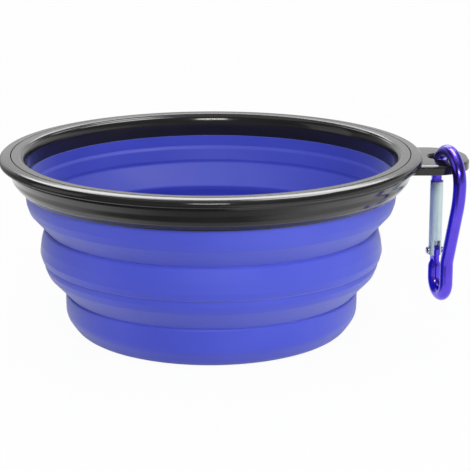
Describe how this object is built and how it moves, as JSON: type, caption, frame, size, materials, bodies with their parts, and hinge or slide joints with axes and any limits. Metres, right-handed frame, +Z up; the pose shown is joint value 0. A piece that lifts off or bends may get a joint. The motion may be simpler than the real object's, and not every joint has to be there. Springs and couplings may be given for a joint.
{
  "type": "collapsible silicone bowl",
  "caption": "Open round silicone bowl with two fold lines that pop flat, a rigid dark rim with an ear, and a sprung-gate carabiner hanging in the ear's hole.",
  "frame": {"origin": "centre of the base's flat underside, on the bowl's axis", "axes": "+Z up out of the bowl's mouth, +X towards the rim's ear and the carabiner"},
  "size_m": [0.1443, 0.13, 0.0604],
  "materials": {
    "rim": "glossy moulded plastic, near black",
    "silicone": "satin silicone, blue violet, slightly translucent",
    "carabiner": "glossy anodised aluminium, blue violet",
    "gate": "plain polished aluminium",
    "steel": "plain steel"
  },
  "bodies": {
    "rim": {"rim_ring": "rim", "clamp_ring": "rim", "wall_collar": "silicone", "upper_fold": "silicone"},
    "band": {"middle_band": "silicone", "lower_fold": "silicone"},
    "base": {"base_cup": "silicone"},
    "carabiner": {"carabiner_frame": "carabiner", "gate_rivet": "steel"},
    "gate": {"carabiner_gate": "gate", "gate_plunger": "steel", "gate_spring": "steel"}
  },
  "joints": [
    {"name": "upper_fold_pop", "type": "slide", "parent": "rim", "child": "band", "axis": [0, 0, 1], "range_m": [0, 0.016], "deforming": ["upper_fold"]},
    {"name": "lower_fold_pop", "type": "slide", "parent": "band", "child": "base", "axis": [0, 0, 1], "range_m": [0, 0.0216], "deforming": ["lower_fold"]},
    {"name": "carabiner_swing", "type": "hinge", "parent": "rim", "child": "carabiner", "pos_m": [0.07239, -0.00839, 0.0496], "axis": [-0.9588, -0.284, 0], "range_deg": [-10, 75]},
    {"name": "gate_hinge", "type": "hinge", "parent": "carabiner", "child": "gate", "pos_m": [0.0699, 0, 0.0252], "axis": [0.9588, 0.284, 0], "range_deg": [0, 30], "stiffness_Nm_per_rad": 0.02, "springref_deg": -57.3}
  ]
}
